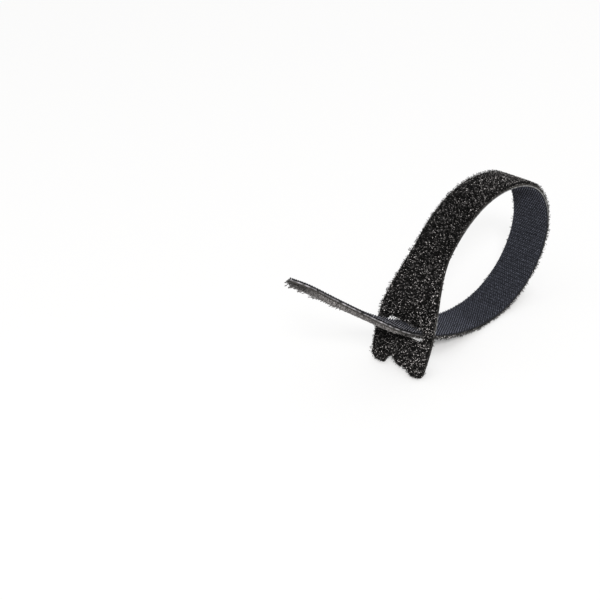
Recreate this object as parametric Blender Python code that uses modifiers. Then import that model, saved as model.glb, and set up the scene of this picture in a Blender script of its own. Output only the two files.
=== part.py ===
"""A hook-and-loop cable tie, closed into a loop through the slot in its own head.

The tie is one die-cut strap: loop pile outside, rows of fine hooks inside. It is made flat, as it
is cut, and then bent along the path of its hook side in the XZ plane. The strap's width runs
along Y. The head leans on its two prongs, the loop stands on its pile, and the tail comes out of
the slot. Units are metres, +Z is up, and the origin is the middle of the base.
"""

import bisect
import math

import bmesh
import bpy
from mathutils import Vector, noise
from mathutils.geometry import interpolate_bezier

# Strap: width, the laminate without its relief, and the length from the slot to the tip
STRAP_WIDTH = 0.0120
STRAP_THICKNESS = 0.0011
TAIL_LENGTH = 0.0476

# Head: width at the slot and at the end, length beyond the slot, and the shoulder behind it
HEAD_WIDTH = 0.0199
HEAD_END_WIDTH = 0.0183
SLOT_SETBACK = 0.0117
SHOULDER_LENGTH = 0.0238
PRONG_RADIUS = 0.0018
HEAD_LEAN = math.radians(23.9)

# Slot: clearance beside the strap's edges, the gap that the strap's thickness passes, and how far
# the slot's middle lies beyond the strap's hook side, towards the head's end
SLOT_SIDE_CLEARANCE = 0.0009
SLOT_WIDTH = 0.0036
SLOT_OFFSET = 0.0002

# Notch between the prongs: its two ends across the head, its deep point and its shallow stretch
NOTCH_HIGH_Y = 0.0046
NOTCH_LOW_Y = -0.0056
NOTCH_DEEP_Y = 0.0028
NOTCH_DEPTH = 0.0026
NOTCH_SHALLOW_HIGH_Y = -0.0004
NOTCH_SHALLOW_LOW_Y = -0.0031
NOTCH_SHALLOW_DEPTH = 0.0012

# Tip: a taper to a narrow neck, then a small blunt bulb to hold by
TAPER_LENGTH = 0.0190
NECK_WIDTH = 0.0060
BULB_LENGTH = 0.0150
BULB_WIDTH = 0.0078
BULB_RADIUS = 0.0030

# Loop: places along X and Z from the slot, and how far the curve's handles reach
LOOP_TOP_X = 0.0331
LOOP_TOP_Z = 0.0276
LOOP_FAR_X = 0.0530
LOOP_FAR_Z = 0.0114
LOOP_BOTTOM_X = 0.0287
HEAD_REACH = 0.0215
TOP_REACH = 0.0108
FAR_REACH = 0.0110
BOTTOM_REACH = 0.0129
SLOT_REACH = 0.0058

# The strap wanders to one side on its way round, within the slot's side clearance
SIDE_DRIFT = 0.0004
DRIFT_START = 0.0100
DRIFT_LENGTH = 0.0500

# Tail: the rise of its chord and of its two ends, and its handles as shares of the chord
TAIL_SLOPE = math.radians(32.2)
TAIL_CHORD_SLOPE = math.radians(42.7)
TAIL_TIP_SLOPE = math.radians(44.5)
TAIL_START_SHARE = 0.213
TAIL_TIP_SHARE = 0.550

# The tail's last stretch turns a little about its own path
TAIL_TWIST = math.radians(5.1)
TWIST_LENGTH = 0.0460

# Relief: crosswise ribs of hooks inside, tufts of pile outside, and the pile that the table flattens
RIB_PITCH = 0.0011
RIB_HEIGHT = 0.00025
TUFT_HEIGHT = 0.00030
TUFT_SIZE = 0.0011
PILE_PRESSED = 0.00010

STRIPS_ACROSS = 7
SAMPLES = 96
ARC_STEPS = 8
CUT_MARGIN = 0.004
MERGE_DISTANCE = 0.000001

PILE_BLACK = (0.012, 0.012, 0.013, 1.0)


def clear_scene():
    """Remove every object that the scene starts with."""
    for item in list(bpy.data.objects):
        bpy.data.objects.remove(item, do_unlink=True)


def new_collection(name):
    """Make a collection and link it to the scene."""
    collection = bpy.data.collections.new(name)
    bpy.context.scene.collection.children.link(collection)
    return collection


def pile_material():
    """Near-black nylon, without shine."""
    material = bpy.data.materials.new("black_nylon_pile")
    material.use_nodes = True
    shader = material.node_tree.nodes["Principled BSDF"]
    shader.inputs["Base Color"].default_value = PILE_BLACK
    shader.inputs["Roughness"].default_value = 0.9
    shader.inputs["Metallic"].default_value = 0.0
    return material


def heading(angle):
    """Unit vector in the XZ plane, turned up from +X."""
    return Vector((math.cos(angle), 0.0, math.sin(angle)))


def bezier(start, start_angle, start_reach, end, end_angle, end_reach):
    """Points of one Bezier stretch, from its two ends, their headings and their handles."""
    first_handle = start + heading(start_angle) * start_reach
    last_handle = end - heading(end_angle) * end_reach
    return interpolate_bezier(start, first_handle, last_handle, end, SAMPLES)


def path_length(points):
    """Length of a chain of points."""
    return sum((b - a).length for a, b in zip(points, points[1:]))


def slot_height():
    """Height of the strap in the slot when the head stands on its prongs."""
    rise = SLOT_SETBACK * math.cos(HEAD_LEAN)
    return rise + RIB_HEIGHT * math.sin(HEAD_LEAN)


def loop_points():
    """The loop's path: up from the slot, over the top, down, and back into the slot."""
    slot = Vector((0.0, 0.0, slot_height()))
    bottom_height = STRAP_THICKNESS + TUFT_HEIGHT / 2 - PILE_PRESSED
    top = slot + Vector((LOOP_TOP_X, 0.0, LOOP_TOP_Z))
    far = slot + Vector((LOOP_FAR_X, 0.0, LOOP_FAR_Z))
    bottom = Vector((LOOP_BOTTOM_X, 0.0, bottom_height))
    up = math.pi / 2 - HEAD_LEAN
    down = -math.pi / 2
    back = -math.pi
    into_slot = math.pi - TAIL_SLOPE
    points = bezier(slot, up, HEAD_REACH, top, 0.0, TOP_REACH)
    points += bezier(top, 0.0, TOP_REACH, far, down, FAR_REACH)[1:]
    points += bezier(far, down, FAR_REACH, bottom, back, BOTTOM_REACH)[1:]
    points += bezier(bottom, back, BOTTOM_REACH, slot, into_slot, SLOT_REACH)[1:]
    return points


def tail_points():
    """The tail's path from the slot to the tip, scaled to its real length."""
    slot = Vector((0.0, 0.0, 0.0))
    tip = heading(math.pi - TAIL_CHORD_SLOPE)
    start = math.pi - TAIL_SLOPE
    end = math.pi - TAIL_TIP_SLOPE
    points = bezier(slot, start, TAIL_START_SHARE, tip, end, TAIL_TIP_SHARE)
    scale = TAIL_LENGTH / path_length(points)
    lift = Vector((0.0, 0.0, slot_height()))
    return [point * scale + lift for point in points]


class HookPath:
    """Path of the bent strap's hook side, by the distance from the slot: the head is below zero."""

    def __init__(self):
        loop = loop_points()
        self.tip = path_length(loop) + TAIL_LENGTH
        head_end = loop[0] - heading(math.pi / 2 - HEAD_LEAN) * SLOT_SETBACK
        self.points = [head_end] + loop + tail_points()[1:]
        self.marks = [-SLOT_SETBACK]
        for a, b in zip(self.points, self.points[1:]):
            self.marks.append(self.marks[-1] + (b - a).length)
        self.directions = self.point_directions()

    def point_directions(self):
        """Heading at each point: the mean of the two stretches that meet there."""
        runs = [(b - a).normalized() for a, b in zip(self.points, self.points[1:])]
        middle = [(a + b).normalized() for a, b in zip(runs, runs[1:])]
        return [runs[0]] + middle + [runs[-1]]

    def frame(self, distance):
        """Point and outward direction at a distance from the slot."""
        index = bisect.bisect_right(self.marks, distance) - 1
        index = max(0, min(index, len(self.marks) - 2))
        span = self.marks[index + 1] - self.marks[index]
        share = (distance - self.marks[index]) / span
        point = self.points[index].lerp(self.points[index + 1], share)
        along = self.directions[index].lerp(self.directions[index + 1], share).normalized()
        drift = SIDE_DRIFT * smooth_step((distance - DRIFT_START) / DRIFT_LENGTH)
        return point + Vector((0.0, drift, 0.0)), Vector((-along.z, 0.0, along.x))

    def place(self, flat):
        """Where a point of the flat strap comes to lie."""
        point, outward = self.frame(flat.x)
        turn = TAIL_TWIST * smooth_step(1.0 - (self.tip - flat.x) / TWIST_LENGTH)
        across = flat.y * math.cos(turn) - flat.z * math.sin(turn)
        height = flat.z * math.cos(turn) + flat.y * math.sin(turn)
        return point + outward * height + Vector((0.0, across, 0.0))


def smooth_step(value):
    """Ease from 0 to 1 with level ends."""
    value = max(0.0, min(1.0, value))
    return value * value * (3.0 - 2.0 * value)


def round_corner(half_width, distance_to_end, radius):
    """Half width near an end whose two corners are rounded."""
    if distance_to_end >= radius:
        return half_width
    depth = radius - max(0.0, distance_to_end)
    return half_width - radius + math.sqrt(radius * radius - depth * depth)


def half_width(distance, tip):
    """Half the width of the die-cut outline at a distance from the slot."""
    if distance < 0.0:
        share = -distance / SLOT_SETBACK
        width = HEAD_WIDTH + (HEAD_END_WIDTH - HEAD_WIDTH) * share * share
        return round_corner(width / 2, distance + SLOT_SETBACK, PRONG_RADIUS)
    if distance < SHOULDER_LENGTH:
        share = smooth_step(distance / SHOULDER_LENGTH)
        return (HEAD_WIDTH + (STRAP_WIDTH - HEAD_WIDTH) * share) / 2
    to_tip = tip - distance
    if to_tip > BULB_LENGTH:
        share = smooth_step((to_tip - BULB_LENGTH) / TAPER_LENGTH)
        return (NECK_WIDTH + (STRAP_WIDTH - NECK_WIDTH) * share) / 2
    share = smooth_step(1.0 - to_tip / BULB_LENGTH)
    width = NECK_WIDTH + (BULB_WIDTH - NECK_WIDTH) * share
    return round_corner(width / 2, to_tip, BULB_RADIUS)


def mesh_object(name, mesh, collection):
    """Make an object for a mesh and link it to a collection."""
    item = bpy.data.objects.new(name, mesh)
    collection.objects.link(item)
    return item


def evaluated_mesh(item):
    """The object's mesh with its modifiers applied."""
    graph = bpy.context.evaluated_depsgraph_get()
    return bpy.data.meshes.new_from_object(item.evaluated_get(graph))


def row_layout(line):
    """How many half-pitch rows fill the strap's length, and the step between them."""
    length = line.tip + SLOT_SETBACK
    rows = round(length / RIB_PITCH) * 2
    return rows, length / rows


def flat_blank(line, collection):
    """The die-cut strap lying flat: X is the distance from the slot, and the pile is up."""
    rows, step = row_layout(line)
    sheet = bmesh.new()
    bmesh.ops.create_grid(sheet, x_segments=rows, y_segments=STRIPS_ACROSS, size=1.0)
    for vertex in sheet.verts:
        distance = (vertex.co.x + 1.0) / 2.0 * rows * step - SLOT_SETBACK
        vertex.co = Vector((distance, vertex.co.y * half_width(distance, line.tip), 0.0))
    mesh = bpy.data.meshes.new("flat_blank")
    sheet.to_mesh(mesh)
    sheet.free()
    blank = mesh_object("flat_blank", mesh, collection)
    thicken = blank.modifiers.new("laminate", "SOLIDIFY")
    thicken.thickness = STRAP_THICKNESS
    thicken.offset = 1.0
    return blank


def add_relief(mesh, line):
    """Raise crosswise ribs on the hook side and tufts on the pile side."""
    step = row_layout(line)[1]
    for vertex in mesh.vertices:
        row = round((vertex.co.x + SLOT_SETBACK) / step)
        if vertex.co.z < STRAP_THICKNESS / 2:
            vertex.co.z -= RIB_HEIGHT * (row % 2)
        else:
            lump = noise.noise(vertex.co / TUFT_SIZE)
            vertex.co.z += TUFT_HEIGHT * (0.5 + 0.5 * lump)


def outline_cutter(name, corners, rounds, collection):
    """A flat closed outline, made thick enough to cut right through the blank.

    The outline runs through its sharp corners and then through its rounded points.
    """
    curve = bpy.data.curves.new(name, "CURVE")
    curve.dimensions = "2D"
    curve.fill_mode = "BOTH"
    curve.extrude = CUT_MARGIN
    curve.resolution_u = ARC_STEPS
    spline = curve.splines.new("BEZIER")
    spline.bezier_points.add(len(corners) + len(rounds) - 1)
    for index, (x, y) in enumerate(corners + rounds):
        point = spline.bezier_points[index]
        point.co = (x, y, 0.0)
        handle = "VECTOR" if index < len(corners) else "AUTO"
        point.handle_left_type = handle
        point.handle_right_type = handle
    spline.use_cyclic_u = True
    guide = bpy.data.objects.new(name + "_outline", curve)
    collection.objects.link(guide)
    solid = bmesh.new()
    mesh = evaluated_mesh(guide)
    solid.from_mesh(mesh)
    bmesh.ops.remove_doubles(solid, verts=solid.verts, dist=MERGE_DISTANCE)
    bmesh.ops.recalc_face_normals(solid, faces=solid.faces)
    solid.to_mesh(mesh)
    solid.free()
    bpy.data.objects.remove(guide, do_unlink=True)
    cutter = mesh_object(name, mesh, collection)
    cutter.hide_render = True
    cutter.display_type = "WIRE"
    return cutter


def slot_cutter(collection):
    """The crosswise slot with round ends that the tail passes."""
    radius = SLOT_WIDTH / 2
    straight = STRAP_WIDTH / 2 + SLOT_SIDE_CLEARANCE - radius
    outline = []
    for side in (1.0, -1.0):
        for step in range(ARC_STEPS + 1):
            angle = math.pi * step / ARC_STEPS
            x = side * radius * math.cos(angle) - SLOT_OFFSET
            y = side * (straight + radius * math.sin(angle))
            outline.append((x, y))
    return outline_cutter("slot_cutter", outline, [], collection)


def notch_cutter(collection):
    """The soft-cornered notch between the two prongs, open at the head's end."""
    end = -SLOT_SETBACK
    outside = end - CUT_MARGIN
    corners = [(end, NOTCH_LOW_Y), (outside, NOTCH_LOW_Y), (outside, NOTCH_HIGH_Y), (end, NOTCH_HIGH_Y)]
    shallow = end + NOTCH_SHALLOW_DEPTH
    rounds = [(end + NOTCH_DEPTH, NOTCH_DEEP_Y)]
    rounds += [(shallow, NOTCH_SHALLOW_HIGH_Y), (shallow, NOTCH_SHALLOW_LOW_Y)]
    return outline_cutter("notch_cutter", corners, rounds, collection)


def cut(blank, cutter):
    """Cut one solid out of the blank."""
    modifier = blank.modifiers.new(cutter.name, "BOOLEAN")
    modifier.operation = "DIFFERENCE"
    modifier.solver = "EXACT"
    modifier.object = cutter


def bend(mesh, line):
    """Bend the flat strap along its path and press the pile flat on the table."""
    shape = bmesh.new()
    shape.from_mesh(mesh)
    bmesh.ops.triangulate(shape, faces=shape.faces)
    for vertex in shape.verts:
        place = line.place(vertex.co)
        place.z = max(0.0, place.z)
        vertex.co = place
    shape.to_mesh(mesh)
    shape.free()


def stand_on_origin(item):
    """Put the middle of the object's base on the origin."""
    for axis in (0, 1):
        places = [vertex.co[axis] for vertex in item.data.vertices]
        item.location[axis] = -(min(places) + max(places)) / 2


def build():
    """Make the tie."""
    clear_scene()
    parts = new_collection("hook_and_loop_cable_tie")
    cutters = new_collection("cutters")
    line = HookPath()
    strap = flat_blank(line, parts)
    strap.name = "strap"
    relief = evaluated_mesh(strap)
    add_relief(relief, line)
    strap.modifiers.clear()
    strap.data = relief
    for cutter in (slot_cutter(cutters), notch_cutter(cutters)):
        cut(strap, cutter)
    bent = evaluated_mesh(strap)
    bend(bent, line)
    bent.name = "strap"
    strap.modifiers.clear()
    strap.data = bent
    bent.materials.clear()
    bent.materials.append(pile_material())
    stand_on_origin(strap)


build()
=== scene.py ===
"""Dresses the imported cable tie: a hook sheet and a pile backing, with real hooks and loops on them.

Units are metres. The strap is described flat, by s, the distance from the slot towards the tip,
y across it, and h, the height above the hook side towards the pile. It is then bent along the
same path as the CAD model.
"""

import math

import bmesh
import bpy
import numpy as np
from mathutils import Matrix, Vector
from mathutils.bvhtree import BVHTree
from mathutils.geometry import interpolate_bezier

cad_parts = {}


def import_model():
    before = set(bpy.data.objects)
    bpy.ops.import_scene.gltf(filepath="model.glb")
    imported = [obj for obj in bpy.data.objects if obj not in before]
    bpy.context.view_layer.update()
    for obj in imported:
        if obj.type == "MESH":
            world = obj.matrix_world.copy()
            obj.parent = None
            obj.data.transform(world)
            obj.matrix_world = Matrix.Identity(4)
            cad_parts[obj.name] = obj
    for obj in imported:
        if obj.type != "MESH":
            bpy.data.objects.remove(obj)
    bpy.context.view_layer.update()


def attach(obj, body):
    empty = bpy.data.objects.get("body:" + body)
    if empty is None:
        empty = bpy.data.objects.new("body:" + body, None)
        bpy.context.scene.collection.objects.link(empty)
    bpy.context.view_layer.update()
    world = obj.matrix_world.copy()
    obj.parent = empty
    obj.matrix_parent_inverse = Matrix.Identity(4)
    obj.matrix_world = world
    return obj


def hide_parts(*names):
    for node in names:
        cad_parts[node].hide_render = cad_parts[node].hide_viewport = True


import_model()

RANDOM = np.random.default_rng(20)

# The same sizes as in the CAD model
STRAP_WIDTH = 0.0120
STRAP_THICKNESS = 0.0011
TAIL_LENGTH = 0.0476
HEAD_WIDTH = 0.0199
HEAD_END_WIDTH = 0.0183
SLOT_SETBACK = 0.0117
SHOULDER_LENGTH = 0.0238
PRONG_RADIUS = 0.0018
HEAD_LEAN = math.radians(23.9)
SLOT_SIDE_CLEARANCE = 0.0009
SLOT_WIDTH = 0.0036
SLOT_OFFSET = 0.0002
NOTCH_HIGH_Y = 0.0046
NOTCH_LOW_Y = -0.0056
NOTCH_DEEP_Y = 0.0028
NOTCH_DEPTH = 0.0026
NOTCH_SHALLOW_HIGH_Y = -0.0004
NOTCH_SHALLOW_LOW_Y = -0.0031
NOTCH_SHALLOW_DEPTH = 0.0012
TAPER_LENGTH = 0.0190
NECK_WIDTH = 0.0060
BULB_LENGTH = 0.0150
BULB_WIDTH = 0.0078
BULB_RADIUS = 0.0030
LOOP_TOP_X = 0.0331
LOOP_TOP_Z = 0.0276
LOOP_FAR_X = 0.0530
LOOP_FAR_Z = 0.0114
LOOP_BOTTOM_X = 0.0287
HEAD_REACH = 0.0215
TOP_REACH = 0.0108
FAR_REACH = 0.0110
BOTTOM_REACH = 0.0129
SLOT_REACH = 0.0058
SIDE_DRIFT = 0.0004
DRIFT_START = 0.0100
DRIFT_LENGTH = 0.0500
TAIL_SLOPE = math.radians(32.2)
TAIL_CHORD_SLOPE = math.radians(42.7)
TAIL_TIP_SLOPE = math.radians(44.5)
TAIL_START_SHARE = 0.213
TAIL_TIP_SHARE = 0.550
TAIL_TWIST = math.radians(5.1)
TWIST_LENGTH = 0.0460
RIB_HEIGHT = 0.00025
TUFT_HEIGHT = 0.00030
PILE_PRESSED = 0.00010
SLOT_X = -0.009222

# Layers: the hook sheet starts at h = 0, and the slightly narrower pile backing lies on it
HOOK_SHEET = 0.00030
PILE_BACKING = 0.00035
EDGE_LIP = 0.00012

# Hooks: a staggered grid of small J hooks, with the pitch that the photograph shows
HOOK_ROW_PITCH = 0.00054
HOOK_PITCH = 0.00070
HOOK_HEIGHT = 0.00046
HOOK_REACH = 0.00024
HOOK_RADIUS = 0.000100
HOOK_LEAN = 0.00003
HOOK_CURL = (0.0, 40.0, 95.0, 150.0, 205.0)
HOOK_TAPER = (1.25, 1.0, 0.95, 0.85, 0.7, 0.3)
HOOK_END_MARGIN = 0.0003
HOOK_EDGE_MARGIN = 0.0002

# Up to FRONT_END the hooks keep farther from the near edge, so that they don't stand out past it
HOOK_FRONT_MARGIN = 0.0006
FRONT_END = 0.0600

# The hooks' painted light from root to tip, in the loop and on the tail, painted shade at the root and
# a painted highlight near the crown, and their colours there
LOOP_HOOK_PAINTED_LIGHT = (0.50, 0.8, 1.2, 1.4, 1.1, 0.7)
TAIL_HOOK_PAINTED_LIGHT = (0.05, 0.4, 1.6, 2.8, 2.1, 0.8)
LOOP_HOOK_COLOUR = (0.075, 0.079, 0.100)
TAIL_HOOK_COLOUR = (0.079, 0.079, 0.090)
LIGHTER_FROM = 0.1120
TAIL_LOOK_FROM = 0.1380
# Painted shade: every second row of hooks on the tail is darkened by this share, so that the other rows
# show as lit strokes
PAINTED_SHADE_ROWS = 0.85

# Pile: curled loops of fibre, with a fringe of them along both edges
PILE_PITCH = 0.00035
PILE_HEIGHT = 0.00080
PILE_RADIUS = 0.000058
PILE_CURL = 0.00015
PILE_ARC = (-60.0, 10.0, 65.0, 120.0, 190.0)
PILE_TAPER = (1.0, 1.0, 1.0, 1.0, 0.9, 0.7)
PILE_LEAN = 0.00022
PILE_WOBBLE = 0.00004
FRINGE_PITCH = 0.00017
FRINGE_THICKER = 1.4
FRINGE_REACH = 0.0012
FRINGE_CLUMP = 0.0005
FRINGE_CLUMPS = 500
FRINGE_INSET = 0.0003
BARE_PULL = 0.0006
SLOT_FLOP = 0.0007
FRAYED_START = 0.1460
FRAYED_END = 0.0330

# The pile's painted light: most loops are near black and a few carry a painted glint, each painted
# lightest near its crown and dark at the root
PILE_PAINTED_LIGHT = (0.1, 0.2, 0.5, 1.7, 1.0, 0.2)
FRINGE_PAINTED_LIGHT = (0.3, 0.4, 0.7, 1.5, 1.0, 0.3)
PILE_TINT = (1.04, 0.98, 0.96)
PILE_DARKEST = 0.009
PILE_PAINTED_GLINT = 0.78
PAINTED_GLINT_RARENESS = 6
FRAYED_DARKEST = 0.05
FRAYED_PALEST = 0.34

# Where the tail's pile is squeezed flat by the slot, measured from the slot towards the tip
SQUEEZED_HEIGHT = 0.65
SQUEEZED_MIDDLE = 0.0025
SQUEEZED_LENGTH = 0.0060
SQUEEZED_EASE = 0.0040

# A painted shadow on the head's pile, under the tail: where the pile is darkened, and by how much
PAINTED_SHADOW_AT_S = -0.0040
PAINTED_SHADOW_AT_Y = 0.0060
PAINTED_SHADOW_LENGTH = 0.0025
PAINTED_SHADOW_WIDTH = 0.0035
PAINTED_SHADOW_SHARE = 0.7

# Where the light cut edge shows: values of s in millimetres, and how light it is there
EDGE_MARKS_MM = (1.0, 2.5, 6.0, 8.5, 26.0, 31.0, 69.0, 77.0, 140.0, 147.0, 186.0)
EDGE_LIGHT = (0.12, 1.0, 1.0, 0.12, 0.12, 1.0, 1.0, 0.12, 0.12, 1.0, 0.8)
SLOT_EDGE_LIMIT = 0.0080

SAMPLES = 96
ARC_STEPS = 8
CUT_MARGIN = 0.004
ROWS = 420
STRIPS = 16


# The path of the hook side


def heading(angle):
    """Unit vector in the XZ plane, turned up from +X."""
    return Vector((math.cos(angle), 0.0, math.sin(angle)))


def bezier(start, start_angle, start_reach, end, end_angle, end_reach):
    """Points of one Bezier stretch, from its ends, their headings and their handles."""
    first_handle = start + heading(start_angle) * start_reach
    last_handle = end - heading(end_angle) * end_reach
    return interpolate_bezier(start, first_handle, last_handle, end, SAMPLES)


def slot_height():
    """Height of the strap in the slot when the head stands on its prongs."""
    rise = SLOT_SETBACK * math.cos(HEAD_LEAN)
    return rise + RIB_HEIGHT * math.sin(HEAD_LEAN)


def loop_points():
    """The loop's path, from the slot round to the slot."""
    slot = Vector((0.0, 0.0, slot_height()))
    bottom_height = STRAP_THICKNESS + TUFT_HEIGHT / 2 - PILE_PRESSED
    top = slot + Vector((LOOP_TOP_X, 0.0, LOOP_TOP_Z))
    far = slot + Vector((LOOP_FAR_X, 0.0, LOOP_FAR_Z))
    bottom = Vector((LOOP_BOTTOM_X, 0.0, bottom_height))
    up = math.pi / 2 - HEAD_LEAN
    down = -math.pi / 2
    back = -math.pi
    into_slot = math.pi - TAIL_SLOPE
    points = bezier(slot, up, HEAD_REACH, top, 0.0, TOP_REACH)
    points += bezier(top, 0.0, TOP_REACH, far, down, FAR_REACH)[1:]
    points += bezier(far, down, FAR_REACH, bottom, back, BOTTOM_REACH)[1:]
    points += bezier(bottom, back, BOTTOM_REACH, slot, into_slot, SLOT_REACH)[1:]
    return points


def tail_points():
    """The tail's path from the slot to the tip."""
    tip = heading(math.pi - TAIL_CHORD_SLOPE)
    start = math.pi - TAIL_SLOPE
    end = math.pi - TAIL_TIP_SLOPE
    points = bezier(Vector((0.0, 0.0, 0.0)), start, TAIL_START_SHARE, tip, end, TAIL_TIP_SHARE)
    length = sum((b - a).length for a, b in zip(points, points[1:]))
    lift = Vector((0.0, 0.0, slot_height()))
    return [point * (TAIL_LENGTH / length) + lift for point in points]


def eased(share):
    """Ease an array from 0 to 1 with level ends."""
    share = np.clip(share, 0.0, 1.0)
    return share * share * (3.0 - 2.0 * share)


def blend(start, end, share):
    """Mix two rows of numbers by a share from 0 to 1."""
    return np.array(start) * (1.0 - share) + np.array(end) * share


class HookPath:
    """Places of the bent strap, by s, y and h."""

    def __init__(self):
        loop = loop_points()
        head_end = loop[0] - heading(math.pi / 2 - HEAD_LEAN) * SLOT_SETBACK
        points = np.array([head_end] + loop + tail_points()[1:])
        runs = np.diff(points, axis=0)
        lengths = np.linalg.norm(runs, axis=1)
        self.x = points[:, 0] + SLOT_X
        self.z = points[:, 2]
        self.marks = np.concatenate([[0.0], np.cumsum(lengths)]) - SLOT_SETBACK
        self.tip = self.marks[-1]
        angles = np.unwrap(np.arctan2(runs[:, 2], runs[:, 0]))
        middle = (angles[1:] + angles[:-1]) / 2
        self.angles = np.concatenate([angles[:1], middle, angles[-1:]])

    def place(self, s, y, h):
        """Points in the row frame."""
        angle = np.interp(s, self.marks, self.angles)
        turn = TAIL_TWIST * eased(1.0 - (self.tip - s) / TWIST_LENGTH)
        across = y * np.cos(turn) - h * np.sin(turn)
        height = h * np.cos(turn) + y * np.sin(turn)
        x = np.interp(s, self.marks, self.x) - np.sin(angle) * height
        z = np.interp(s, self.marks, self.z) + np.cos(angle) * height
        drift = SIDE_DRIFT * eased((s - DRIFT_START) / DRIFT_LENGTH)
        return np.stack([x, across + drift, z], axis=-1)


LINE = HookPath()


# The die-cut outline


def smooth_step(value):
    """Ease from 0 to 1 with level ends."""
    value = max(0.0, min(1.0, value))
    return value * value * (3.0 - 2.0 * value)


def round_corner(half_width, distance_to_end, radius):
    """Half width near an end whose two corners are rounded."""
    if distance_to_end >= radius:
        return half_width
    depth = radius - max(0.0, distance_to_end)
    return half_width - radius + math.sqrt(radius * radius - depth * depth)


def half_width(s):
    """Half the width of the die-cut outline."""
    if s < 0.0:
        share = -s / SLOT_SETBACK
        width = HEAD_WIDTH + (HEAD_END_WIDTH - HEAD_WIDTH) * share * share
        return round_corner(width / 2, s + SLOT_SETBACK, PRONG_RADIUS)
    if s < SHOULDER_LENGTH:
        share = smooth_step(s / SHOULDER_LENGTH)
        return (HEAD_WIDTH + (STRAP_WIDTH - HEAD_WIDTH) * share) / 2
    to_tip = LINE.tip - s
    if to_tip > BULB_LENGTH:
        share = smooth_step((to_tip - BULB_LENGTH) / TAPER_LENGTH)
        return (NECK_WIDTH + (STRAP_WIDTH - NECK_WIDTH) * share) / 2
    share = smooth_step(1.0 - to_tip / BULB_LENGTH)
    width = NECK_WIDTH + (BULB_WIDTH - NECK_WIDTH) * share
    return round_corner(width / 2, to_tip, BULB_RADIUS)


def edge_light(s):
    """How light the cut edge is at s."""
    return np.interp(s, np.array(EDGE_MARKS_MM) / 1000.0, EDGE_LIGHT)


def evaluated_mesh(item):
    """The object's mesh with its modifiers applied."""
    graph = bpy.context.evaluated_depsgraph_get()
    return bpy.data.meshes.new_from_object(item.evaluated_get(graph))


def linked(name, mesh):
    """Make an object for a mesh and link it to the scene."""
    item = bpy.data.objects.new(name, mesh)
    bpy.context.scene.collection.objects.link(item)
    return item


def cutter(name, corners, rounds):
    """A closed flat outline, extruded right through the strap."""
    curve = bpy.data.curves.new(name, "CURVE")
    curve.dimensions = "2D"
    curve.fill_mode = "BOTH"
    curve.extrude = CUT_MARGIN
    curve.resolution_u = ARC_STEPS
    spline = curve.splines.new("BEZIER")
    spline.bezier_points.add(len(corners) + len(rounds) - 1)
    for index, (x, y) in enumerate(corners + rounds):
        point = spline.bezier_points[index]
        point.co = (x, y, 0.0)
        handle = "VECTOR" if index < len(corners) else "AUTO"
        point.handle_left_type = handle
        point.handle_right_type = handle
    spline.use_cyclic_u = True
    guide = linked(name + "_outline", curve)
    mesh = evaluated_mesh(guide)
    solid = bmesh.new()
    solid.from_mesh(mesh)
    bmesh.ops.remove_doubles(solid, verts=solid.verts, dist=0.000001)
    bmesh.ops.recalc_face_normals(solid, faces=solid.faces)
    solid.to_mesh(mesh)
    solid.free()
    bpy.data.objects.remove(guide, do_unlink=True)
    return linked(name, mesh)


def slot_cutter():
    """The crosswise slot with round ends."""
    radius = SLOT_WIDTH / 2
    straight = STRAP_WIDTH / 2 + SLOT_SIDE_CLEARANCE - radius
    outline = []
    for side in (1.0, -1.0):
        for step in range(ARC_STEPS + 1):
            angle = math.pi * step / ARC_STEPS
            x = side * radius * math.cos(angle) - SLOT_OFFSET
            outline.append((x, side * (straight + radius * math.sin(angle))))
    return cutter("slot_cutter", outline, [])


def notch_cutter():
    """The soft-cornered notch between the prongs."""
    end = -SLOT_SETBACK
    outside = end - CUT_MARGIN
    corners = [(end, NOTCH_LOW_Y), (outside, NOTCH_LOW_Y), (outside, NOTCH_HIGH_Y), (end, NOTCH_HIGH_Y)]
    shallow = end + NOTCH_SHALLOW_DEPTH
    rounds = [(end + NOTCH_DEPTH, NOTCH_DEEP_Y)]
    rounds += [(shallow, NOTCH_SHALLOW_HIGH_Y), (shallow, NOTCH_SHALLOW_LOW_Y)]
    return cutter("notch_cutter", corners, rounds)


def flat_layer(name, low, high, lip, cutters):
    """One die-cut layer of the laminate, still flat, between two heights and wider by a lip."""
    sheet = bmesh.new()
    bmesh.ops.create_grid(sheet, x_segments=ROWS, y_segments=STRIPS, size=1.0)
    length = LINE.tip + SLOT_SETBACK
    for vertex in sheet.verts:
        s = -SLOT_SETBACK + (vertex.co.x + 1.0) / 2.0 * length
        vertex.co = Vector((s, vertex.co.y * (half_width(s) + lip), (low + high) / 2))
    mesh = bpy.data.meshes.new(name)
    sheet.to_mesh(mesh)
    sheet.free()
    layer = linked(name, mesh)
    thicken = layer.modifiers.new("thickness", "SOLIDIFY")
    thicken.thickness = high - low
    thicken.offset = 0.0
    for item in cutters:
        modifier = layer.modifiers.new(item.name, "BOOLEAN")
        modifier.operation = "DIFFERENCE"
        modifier.solver = "EXACT"
        modifier.object = item
    layer.data = evaluated_mesh(layer)
    layer.modifiers.clear()
    layer.data.materials.clear()
    return layer


def bend(mesh, lift=0.0):
    """Bend a flat mesh along the path, no lower than lift above the table."""
    flat = np.empty(len(mesh.vertices) * 3)
    mesh.vertices.foreach_get("co", flat)
    flat = flat.reshape(-1, 3)
    bent = LINE.place(flat[:, 0], flat[:, 1], flat[:, 2])
    bent[:, 2] = np.maximum(bent[:, 2], lift)
    mesh.vertices.foreach_set("co", bent.ravel())
    mesh.update()


# Fibres: many small tubes in one mesh


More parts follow.
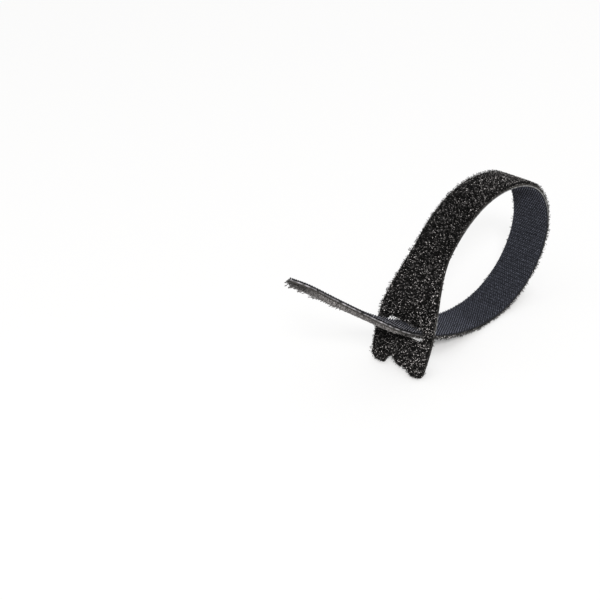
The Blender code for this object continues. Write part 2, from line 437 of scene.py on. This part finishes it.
def tube_mesh(name, paths, radii, across, shades, sides):
    """Tubes along paths (n, k, 3), with radii (n, k), shades (n, k, 3) and a side direction each."""
    count, steps = radii.shape
    tangent = np.gradient(paths, axis=1)
    tangent /= np.linalg.norm(tangent, axis=2, keepdims=True) + 1e-12
    side = np.repeat(across[:, None, :], steps, axis=1)
    normal = np.cross(side, tangent)
    normal /= np.linalg.norm(normal, axis=2, keepdims=True) + 1e-12
    turn = np.arange(sides) * (2 * math.pi / sides)
    ring = (
        np.cos(turn)[None, None, :, None] * normal[:, :, None, :]
        + np.sin(turn)[None, None, :, None] * side[:, :, None, :]
    )
    places = paths[:, :, None, :] + ring * radii[:, :, None, None]
    places[..., 2] = np.maximum(places[..., 2], 0.00002)
    index = np.arange(count * steps * sides).reshape(count, steps, sides)
    here = index[:, :-1]
    there = index[:, 1:]
    quads = np.stack(
        [here, np.roll(here, -1, axis=2), np.roll(there, -1, axis=2), there], axis=-1
    ).reshape(-1, 4)
    mesh = bpy.data.meshes.new(name)
    mesh.vertices.add(index.size)
    mesh.vertices.foreach_set("co", places.ravel())
    mesh.loops.add(quads.size)
    mesh.loops.foreach_set("vertex_index", quads.ravel().astype(np.int32))
    mesh.polygons.add(len(quads))
    mesh.polygons.foreach_set("loop_start", np.arange(0, quads.size, 4, dtype=np.int32))
    mesh.polygons.foreach_set("use_smooth", np.ones(len(quads), dtype=bool))
    mesh.update(calc_edges=True)
    colour = mesh.color_attributes.new("fibre_colour", "FLOAT_COLOR", "POINT")
    values = np.repeat(shades.reshape(-1, 3), sides, axis=0)
    colour.data.foreach_set("color", np.column_stack([values, np.ones(len(values))]).ravel())
    return linked(name, mesh)


def on_strap(tree, s, y):
    """Which flat places have strap under them."""
    down = Vector((0.0, 0.0, -1.0))
    hits = [tree.ray_cast(Vector((a, b, 1.0)), down)[0] is not None for a, b in zip(s, y)]
    return np.array(hits)


def hook_places(tree):
    """A staggered grid over the hook face."""
    first = HOOK_END_MARGIN - SLOT_SETBACK
    rows = np.arange(first, LINE.tip - HOOK_END_MARGIN, HOOK_ROW_PITCH)
    half = HEAD_WIDTH / 2
    places = []
    for index, s in enumerate(rows):
        shift = HOOK_PITCH / 2 * (index % 2)
        across = np.arange(-half + shift, half, HOOK_PITCH)
        side = 1.0 if index % 2 else -1.0
        places.append(np.column_stack([np.full(len(across), s), across, np.full(len(across), side)]))
    places = np.concatenate(places)
    edge = np.array([half_width(s) for s in places[:, 0]])
    near_margin = np.where(places[:, 0] < FRONT_END, HOOK_FRONT_MARGIN, HOOK_EDGE_MARGIN)
    inside = (places[:, 1] < edge - HOOK_EDGE_MARGIN) & (places[:, 1] > near_margin - edge)
    places = places[inside]
    return places[on_strap(tree, places[:, 0], places[:, 1])]


def hook_pieces(tree):
    """The hooks, in two pieces."""
    places = hook_places(tree)
    count = len(places)
    lean = RANDOM.normal(0.0, HOOK_LEAN, count)
    curl = np.radians(HOOK_CURL)
    rise = HOOK_HEIGHT - HOOK_REACH / 2
    forward = np.concatenate([[0.0], HOOK_REACH / 2 * (1.0 - np.cos(curl))])
    height = np.concatenate([[0.0], rise + HOOK_REACH / 2 * np.sin(curl)])
    radius = HOOK_RADIUS * np.array(HOOK_TAPER)
    s = places[:, :1] + places[:, 2:] * forward + lean[:, None] * height / HOOK_HEIGHT
    y = np.repeat(places[:, 1:2], len(forward), axis=1)
    h = -np.repeat(height[None, :], count, axis=0)
    paths = LINE.place(s, y, h)
    radii = np.repeat(radius[None, :], count, axis=0)
    across = np.repeat(np.array([[0.0, 1.0, 0.0]]), count, axis=0)
    on_tail = eased((places[:, :1] - TAIL_LOOK_FROM) / 0.004)
    # Painted light along each hook: a painted shade at the root and a painted highlight near the crown
    painted_crown_light = blend(LOOP_HOOK_PAINTED_LIGHT, TAIL_HOOK_PAINTED_LIGHT, on_tail)
    level = RANDOM.uniform(0.85, 1.15, (count, 1)) * painted_crown_light
    level *= 1.0 + 0.4 * eased((places[:, :1] - LIGHTER_FROM) / 0.010)
    # Painted shade on every second row of the tail's hooks
    level *= 1.0 - PAINTED_SHADE_ROWS * on_tail * (places[:, 2:] < 0.0)
    shades = level[..., None] * blend(LOOP_HOOK_COLOUR, TAIL_HOOK_COLOUR, on_tail[..., None])
    pieces = []
    for index, part in enumerate(np.array_split(np.arange(count), 2)):
        name = f"hooks_{index + 1}"
        pieces.append(tube_mesh(name, paths[part], radii[part], across[part], shades[part], 4))
    return pieces


def pressed(s):
    """How much of the pile's height is left: it lies flat where the tail is drawn through the slot."""
    from_slot = np.abs(s - (LINE.tip - TAIL_LENGTH) - SQUEEZED_MIDDLE)
    free = eased((from_slot - SQUEEZED_LENGTH) / SQUEEZED_EASE)
    return SQUEEZED_HEIGHT + (1.0 - SQUEEZED_HEIGHT) * free


def pile_places(tree):
    """The loops' places, depth on the cut edge, lean and size, and which are on an edge."""
    s, y = np.meshgrid(
        np.arange(-SLOT_SETBACK, LINE.tip, PILE_PITCH),
        np.arange(-HEAD_WIDTH / 2, HEAD_WIDTH / 2, PILE_PITCH),
        indexing="ij",
    )
    s = s.ravel() + RANDOM.uniform(-0.5, 0.5, s.size) * PILE_PITCH
    y = y.ravel() + RANDOM.uniform(-0.5, 0.5, y.size) * PILE_PITCH
    keep = on_strap(tree, s, y) & (s < LINE.tip - PILE_PITCH)
    s, y = s[keep], y[keep]
    lean = RANDOM.normal(0.0, PILE_LEAN, (len(s), 2))
    over_slot = np.exp(-(((np.abs(s) - SLOT_WIDTH / 2 - 0.0003) / 0.0005) ** 2))
    lean[:, 0] -= np.sign(s) * SLOT_FLOP * over_slot * (np.abs(y) < STRAP_WIDTH / 2)
    size = RANDOM.uniform(0.70, 1.05, len(s))
    edge_s = np.tile(np.arange(-SLOT_SETBACK + 0.001, LINE.tip - 0.001, FRINGE_PITCH), 2)
    edge_s += RANDOM.uniform(-0.5, 0.5, edge_s.size) * FRINGE_PITCH
    side = np.repeat([1.0, -1.0], edge_s.size // 2)
    inset = RANDOM.uniform(0.0, FRINGE_INSET, edge_s.size)
    edge_y = side * (np.array([half_width(value) for value in edge_s]) - inset)
    bare = np.where(side < 0.0, edge_light(edge_s), 0.0)
    clumps = RANDOM.uniform(0.0, 1.0, FRINGE_CLUMPS)
    number = (edge_s / FRINGE_CLUMP + FRINGE_CLUMPS / 2 * (side > 0.0)).astype(int)
    clump = clumps[number % FRINGE_CLUMPS]
    reach = FRINGE_REACH * clump * RANDOM.uniform(0.5, 1.0, edge_s.size)
    outward = side * (0.0001 + reach - BARE_PULL * bare)
    edge_lean = np.column_stack([RANDOM.normal(0.0, 0.0002, edge_s.size), outward])
    edge_size = RANDOM.uniform(0.45, 1.1, edge_s.size) * (1.0 - 0.4 * bare)
    edge_size *= 1.0 + 0.8 * eased((edge_s - LINE.tip + FRAYED_END) / 0.010)
    depth = RANDOM.uniform(0.0, 1.0, edge_s.size) ** 0.6
    root = -(HOOK_SHEET + PILE_BACKING) * depth * (1.0 - bare)
    root = np.concatenate([np.zeros(len(s)), root])
    fringe = np.repeat([False, True], [len(s), edge_s.size])
    s = np.concatenate([s, edge_s])
    y = np.concatenate([y, edge_y])
    size = np.concatenate([size, edge_size]) * pressed(s)
    size *= 1.0 - 0.6 * eased(1.0 - (LINE.tip - s) / 0.004)
    return s, y, root, np.concatenate([lean, edge_lean]), size, fringe


def pile_pieces(tree):
    """The pile's loops, in four pieces."""
    s, y, root, lean, size, fringe = pile_places(tree)
    count = len(s)
    turn = RANDOM.uniform(0.0, 2 * math.pi, count)
    arc = np.radians(PILE_ARC)
    out = np.concatenate([[0.4 * PILE_CURL], PILE_CURL * np.cos(arc)])
    up = np.concatenate([[0.0], PILE_HEIGHT - PILE_CURL + PILE_CURL * np.sin(arc)])
    wobble = RANDOM.normal(0.0, PILE_WOBBLE, (count, len(out), 3))
    wobble[:, 0] = 0.0
    along = out[None, :] * np.minimum(size, 1.0)[:, None] * np.where(fringe, 0.7, 1.0)[:, None]
    high = up[None, :] * size[:, None]
    rise = (high / PILE_HEIGHT) ** 1.5
    place_s = s[:, None] + along * np.cos(turn)[:, None] + lean[:, :1] * rise + wobble[..., 0]
    place_y = y[:, None] + along * np.sin(turn)[:, None] + lean[:, 1:] * rise + wobble[..., 1]
    frayed = eased((s - FRAYED_START) / 0.006)
    upright = np.where(fringe, RANDOM.uniform(0.0, 0.5, count), 1.0)
    upright = upright + (1.0 - upright) * frayed
    place_h = HOOK_SHEET + PILE_BACKING + root[:, None] + high * upright[:, None] + wobble[..., 2]
    paths = LINE.place(place_s, place_y, place_h)
    feet = LINE.place(s, y, 0.0 * s)
    across = LINE.place(s - 0.001 * np.sin(turn), y + 0.001 * np.cos(turn), 0.0 * s) - feet
    across /= np.linalg.norm(across, axis=1, keepdims=True)
    radii = PILE_RADIUS * RANDOM.uniform(0.75, 1.25, (count, 1)) * np.array([PILE_TAPER])
    radii *= np.where(fringe, FRINGE_THICKER, 1.0)[:, None]
    # Painted glints: most loops are near black, and a few are painted light in place of their
    # highlights
    level = PILE_DARKEST + PILE_PAINTED_GLINT * RANDOM.random(count) ** PAINTED_GLINT_RARENESS
    level *= 1.15 - 0.5 * eased((s - 0.004) / 0.030) + 0.4 * eased((s - 0.060) / 0.030)
    # Painted shadow: the head's pile is darkened in a patch under the tail
    away = ((s - PAINTED_SHADOW_AT_S) / PAINTED_SHADOW_LENGTH) ** 2 + ((y - PAINTED_SHADOW_AT_Y) / PAINTED_SHADOW_WIDTH) ** 2
    level *= 1.0 - PAINTED_SHADOW_SHARE * np.exp(-away)
    tip_side = eased((s - LINE.tip) / 0.007 + 1.0)
    pale = RANDOM.uniform(FRAYED_DARKEST, FRAYED_PALEST, count) * (1.0 - 0.6 * tip_side)
    level = level * (1.0 - frayed) + pale * frayed
    # Painted light along each loop: shade at the root and a highlight near the crown, none on the
    # frayed loops
    painted_crown_light = np.where(fringe[:, None], FRINGE_PAINTED_LIGHT, PILE_PAINTED_LIGHT)
    painted_crown_light = painted_crown_light * (1.0 - frayed[:, None]) + frayed[:, None]
    shades = (level[:, None] * painted_crown_light)[..., None] * np.array(PILE_TINT)
    pieces = []
    for index, part in enumerate(np.array_split(RANDOM.permutation(count), 4)):
        name = f"pile_{index + 1}"
        pieces.append(tube_mesh(name, paths[part], radii[part], across[part], shades[part], 3))
    return pieces


# Materials


class Nodes:
    """Short calls for a material's node tree."""

    def __init__(self, name):
        self.material = bpy.data.materials.new(name)
        self.material.use_nodes = True
        self.tree = self.material.node_tree
        self.shader = self.tree.nodes["Principled BSDF"]

    def add(self, kind, **values):
        """Add a node and set its inputs by name."""
        node = self.tree.nodes.new(kind)
        for key, value in values.items():
            node.inputs[key.replace("_", " ")].default_value = value
        return node

    def link(self, start, end):
        """Join an output to an input."""
        self.tree.links.new(start, end)


def fibre_material(name, roughness, specular):
    """Nylon fibre: its own shade and painted glints, made uneven along its length by a fine noise that
    paints them as small light and dark specks.
    """
    made = Nodes(name)
    colour = made.tree.nodes.new("ShaderNodeAttribute")
    colour.attribute_name = "fibre_colour"
    place = made.tree.nodes.new("ShaderNodeTexCoord")
    noise = made.add("ShaderNodeTexNoise", Scale=4500.0, Detail=1.0)
    made.link(place.outputs["Object"], noise.inputs["Vector"])
    level = made.add("ShaderNodeMapRange", From_Min=0.35, From_Max=0.65, To_Min=0.25, To_Max=1.9)
    made.link(noise.outputs["Fac"], level.inputs["Value"])
    scale = made.tree.nodes.new("ShaderNodeVectorMath")
    scale.operation = "SCALE"
    made.link(colour.outputs["Color"], scale.inputs[0])
    made.link(level.outputs["Result"], scale.inputs["Scale"])
    made.link(scale.outputs["Vector"], made.shader.inputs["Base Color"])
    made.shader.inputs["Roughness"].default_value = roughness
    made.shader.inputs["Specular IOR Level"].default_value = specular
    return made.material


def sheet_material(name, dark, light, scale, specular, edge=False):
    """Woven nylon: mottled colour and a fine bump, and on a cut edge the edge's own light."""
    made = Nodes(name)
    place = made.tree.nodes.new("ShaderNodeTexCoord")
    noise = made.add("ShaderNodeTexNoise", Scale=scale, Detail=3.0)
    made.link(place.outputs["Object"], noise.inputs["Vector"])
    ramp = made.tree.nodes.new("ShaderNodeValToRGB")
    ramp.color_ramp.elements[0].position = 0.35
    ramp.color_ramp.elements[0].color = (*dark, 1.0)
    ramp.color_ramp.elements[1].position = 0.7
    ramp.color_ramp.elements[1].color = (*light, 1.0)
    made.link(noise.outputs["Fac"], ramp.inputs["Fac"])
    colour = ramp.outputs["Color"]
    if edge:
        light_here = made.tree.nodes.new("ShaderNodeAttribute")
        light_here.attribute_name = "edge_light"
        scaled = made.tree.nodes.new("ShaderNodeVectorMath")
        scaled.operation = "MULTIPLY"
        made.link(colour, scaled.inputs[0])
        made.link(light_here.outputs["Color"], scaled.inputs[1])
        colour = scaled.outputs["Vector"]
    made.link(colour, made.shader.inputs["Base Color"])
    bump = made.add("ShaderNodeBump", Strength=0.5, Distance=0.0001)
    made.link(noise.outputs["Fac"], bump.inputs["Height"])
    made.link(bump.outputs["Normal"], made.shader.inputs["Normal"])
    made.shader.inputs["Roughness"].default_value = 0.75
    made.shader.inputs["Specular IOR Level"].default_value = specular
    return made.material


def mark_edge_light(mesh):
    """Write how light the cut edge is into the flat layer's points: in the slot it is dark."""
    flat = np.empty(len(mesh.vertices) * 3)
    mesh.vertices.foreach_get("co", flat)
    s = flat[0::3]
    y = flat[1::3]
    light = edge_light(s)
    light[(np.abs(s) < SLOT_WIDTH) & (np.abs(y) < SLOT_EDGE_LIMIT)] = EDGE_LIGHT[0]
    colour = mesh.color_attributes.new("edge_light", "FLOAT_COLOR", "POINT")
    values = np.column_stack([light, light, light, np.ones(len(light))])
    colour.data.foreach_set("color", values.ravel())


def edge_slots(mesh, face_material, edge_material, back_material, tail_edge, tail_face):
    """Give a flat layer's faces and cut edges their materials: the tail has two of its own."""
    for material in (face_material, edge_material, back_material, tail_edge, tail_face):
        mesh.materials.append(material)
    tail_start = LINE.tip - TAIL_LENGTH
    for face in mesh.polygons:
        if abs(face.normal.z) < 0.5:
            face.material_index = 3 if face.center.x > tail_start else 1
        elif face.normal.z > 0.0:
            face.material_index = 2
        elif face.center.x > tail_start:
            face.material_index = 4


# The set


def floor_material():
    """White for the camera, with the object's shadow left where the table is closed in."""
    made = Nodes("white_table")
    made.shader.inputs["Base Color"].default_value = (0.96, 0.95, 0.94, 1.0)
    made.shader.inputs["Roughness"].default_value = 0.6
    made.shader.inputs["Specular IOR Level"].default_value = 0.2
    glow = made.add("ShaderNodeEmission", Color=(1.0, 1.0, 1.0, 1.0), Strength=1.0)
    path = made.tree.nodes.new("ShaderNodeLightPath")
    closed_in = made.add("ShaderNodeAmbientOcclusion", Distance=0.008)
    closed_in.samples = 8
    whiteness = made.add("ShaderNodeMapRange", From_Min=0.4, From_Max=0.9, To_Min=0.2, To_Max=0.76)
    made.link(closed_in.outputs["AO"], whiteness.inputs["Value"])
    share = made.tree.nodes.new("ShaderNodeMath")
    share.operation = "MULTIPLY"
    made.link(whiteness.outputs["Result"], share.inputs[1])
    made.link(path.outputs["Is Camera Ray"], share.inputs[0])
    mix = made.tree.nodes.new("ShaderNodeMixShader")
    made.link(share.outputs[0], mix.inputs[0])
    made.link(made.shader.outputs[0], mix.inputs[1])
    made.link(glow.outputs[0], mix.inputs[2])
    made.link(mix.outputs[0], made.tree.nodes["Material Output"].inputs["Surface"])
    return made.material


def floor():
    """A large table top."""
    mesh = bpy.data.meshes.new("table")
    size = 4.0
    corners = [(-size, -size, 0), (size, -size, 0), (size, size, 0), (-size, size, 0)]
    mesh.from_pydata(corners, [], [(0, 1, 2, 3)])
    mesh.materials.append(floor_material())
    linked("table", mesh)


def world():
    """Even white surroundings."""
    made = bpy.data.worlds.new("studio")
    made.use_nodes = True
    back = made.node_tree.nodes["Background"]
    back.inputs["Color"].default_value = (1.0, 1.0, 1.0, 1.0)
    path = made.node_tree.nodes.new("ShaderNodeLightPath")
    strength = made.node_tree.nodes.new("ShaderNodeMapRange")
    strength.inputs["To Min"].default_value = 0.68
    strength.inputs["To Max"].default_value = 1.0
    made.node_tree.links.new(path.outputs["Is Camera Ray"], strength.inputs["Value"])
    made.node_tree.links.new(strength.outputs["Result"], back.inputs["Strength"])
    bpy.context.scene.world = made


def lamp(name, place, target, size, power):
    """A square area lamp that looks at a point."""
    data = bpy.data.lights.new(name, "AREA")
    data.size = size
    data.energy = power
    item = linked(name, data)
    item.location = place
    item.rotation_euler = (Vector(target) - Vector(place)).to_track_quat("-Z", "Y").to_euler()


def camera():
    """The photograph's camera: a view 17 cm wide from 33 cm away, rolled 7.7 degrees."""
    data = bpy.data.cameras.new("camera")
    data.sensor_width = 36.0
    data.lens = 72.0
    data.clip_start = 0.01
    roll = math.radians(7.69)
    forward = Vector((0.5190, 0.6650, -0.5371)).normalized()
    right = forward.cross(Vector((0.0, 0.0, 1.0))).normalized()
    up = right.cross(forward)
    turned_right = right * math.cos(roll) - up * math.sin(roll)
    turned_up = right * math.sin(roll) + up * math.cos(roll)
    item = linked("camera", data)
    axes = Matrix((turned_right, turned_up, -forward)).transposed().to_4x4()
    item.matrix_world = Matrix.Translation((-0.19423, -0.1927, 0.1932)) @ axes
    bpy.context.scene.camera = item


def build():
    """Make the dressed tie, and the set."""
    bpy.context.scene.view_settings.view_transform = "Standard"
    camera()
    cutters = [slot_cutter(), notch_cutter()]
    hook_sheet = flat_layer("hook_sheet", 0.0, HOOK_SHEET, EDGE_LIP, cutters)
    backing = flat_layer("pile_backing", HOOK_SHEET, HOOK_SHEET + PILE_BACKING, 0.0, cutters)
    for item in cutters:
        bpy.data.objects.remove(item, do_unlink=True)
    tree = BVHTree.FromPolygons(
        [vertex.co.copy() for vertex in backing.data.vertices],
        [tuple(face.vertices) for face in backing.data.polygons],
    )
    inner = sheet_material("hook_side", (0.019, 0.020, 0.025), (0.034, 0.036, 0.044), 900.0, 0.06)
    tail = sheet_material("tail_hook_side", (0.008, 0.009, 0.011), (0.018, 0.019, 0.024), 900.0, 0.06)
    edge = sheet_material("cut_edge", (0.06, 0.06, 0.06), (0.32, 0.32, 0.32), 1600.0, 0.2, True)
    frayed = sheet_material("frayed_edge", (0.01, 0.01, 0.01), (0.50, 0.48, 0.50), 700.0, 0.2, True)
    brown = sheet_material("pile_edge", (0.020, 0.019, 0.017), (0.08, 0.075, 0.068), 1600.0, 0.1)
    outer = sheet_material("pile_side", (0.003, 0.003, 0.003), (0.008, 0.008, 0.007), 1300.0, 0.1)
    edge_slots(hook_sheet.data, inner, edge, outer, frayed, tail)
    edge_slots(backing.data, inner, brown, outer, brown, tail)
    mark_edge_light(hook_sheet.data)
    bend(hook_sheet.data, 0.00012)
    bend(backing.data, 0.00003)
    hooks = hook_pieces(tree)
    pile = pile_pieces(tree)
    hook_fibre = fibre_material("hook_nylon", 0.40, 0.2)
    pile_fibre = fibre_material("pile_nylon", 0.28, 0.2)
    for item in hooks:
        item.data.materials.append(hook_fibre)
    for item in pile:
        item.data.materials.append(pile_fibre)
    for item in [hook_sheet, backing] + hooks + pile:
        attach(item, "root")
    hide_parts("strap")
    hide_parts("strap")
    floor()
    world()
    lamp("key", (-0.552, -0.684, 0.816), (0.0, 0.0, 0.02), 0.20, 9.0)


build()
